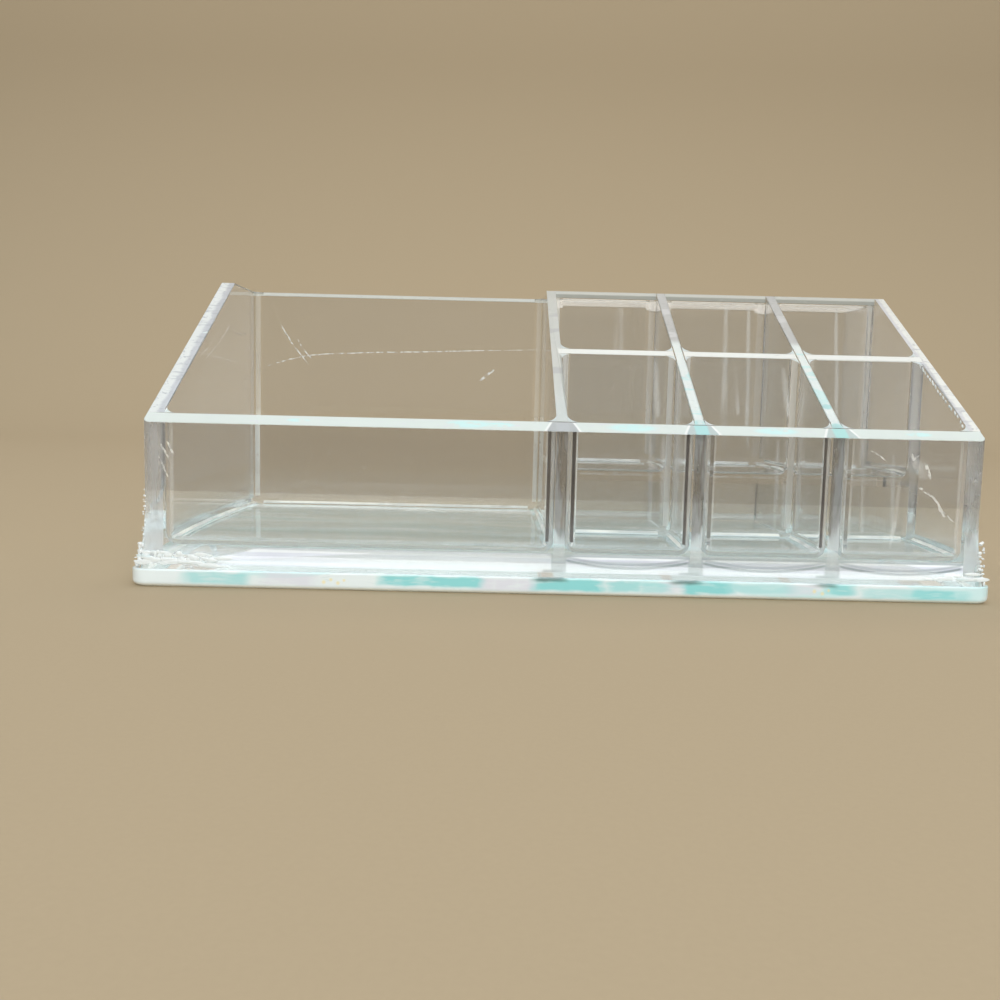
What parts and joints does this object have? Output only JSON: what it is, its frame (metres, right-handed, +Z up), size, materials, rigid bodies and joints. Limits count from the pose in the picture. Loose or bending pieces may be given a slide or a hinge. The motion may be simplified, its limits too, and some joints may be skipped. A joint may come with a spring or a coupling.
{
  "type": "vanity organizer",
  "caption": "Clear vanity organizer of cemented sheet: a large compartment beside two rows of small ones, with a low front, sloping sides, raised rear floors and a flat base plate.",
  "frame": {"origin": "middle of the base plate's underside, on the table", "axes": "+X to the right as seen from the low front, along the width; +Y from the front to the back; +Z up"},
  "size_m": [0.246, 0.125, 0.094],
  "materials": {
    "clear_sheet": "clear acrylic sheet with polished faces and bright edges",
    "base_sheet": "clear acrylic sheet with a bright white and pale teal edge",
    "cement": "clear acrylic cement, set smooth in the corners"
  },
  "bodies": {
    "root": {"base_plate": "base_sheet", "floor_plate": "clear_sheet", "front_wall": "clear_sheet", "back_wall": "clear_sheet", "left_wall": "clear_sheet", "right_wall": "clear_sheet", "main_divider": "clear_sheet", "column_divider_1": "clear_sheet", "column_divider_2": "clear_sheet", "row_divider": "clear_sheet", "rear_riser": "clear_sheet", "top_ledge": "clear_sheet", "raised_floor_1": "clear_sheet", "raised_floor_2": "clear_sheet", "raised_floor_3": "clear_sheet", "seam_fillet_large": "cement", "seam_fillet_front_1": "cement", "seam_fillet_front_2": "cement", "seam_fillet_front_3": "cement", "seam_fillet_rear_1": "cement", "seam_fillet_rear_2": "cement", "seam_fillet_rear_3": "cement", "foot_fillet": "cement"}
  },
  "joints": []
}
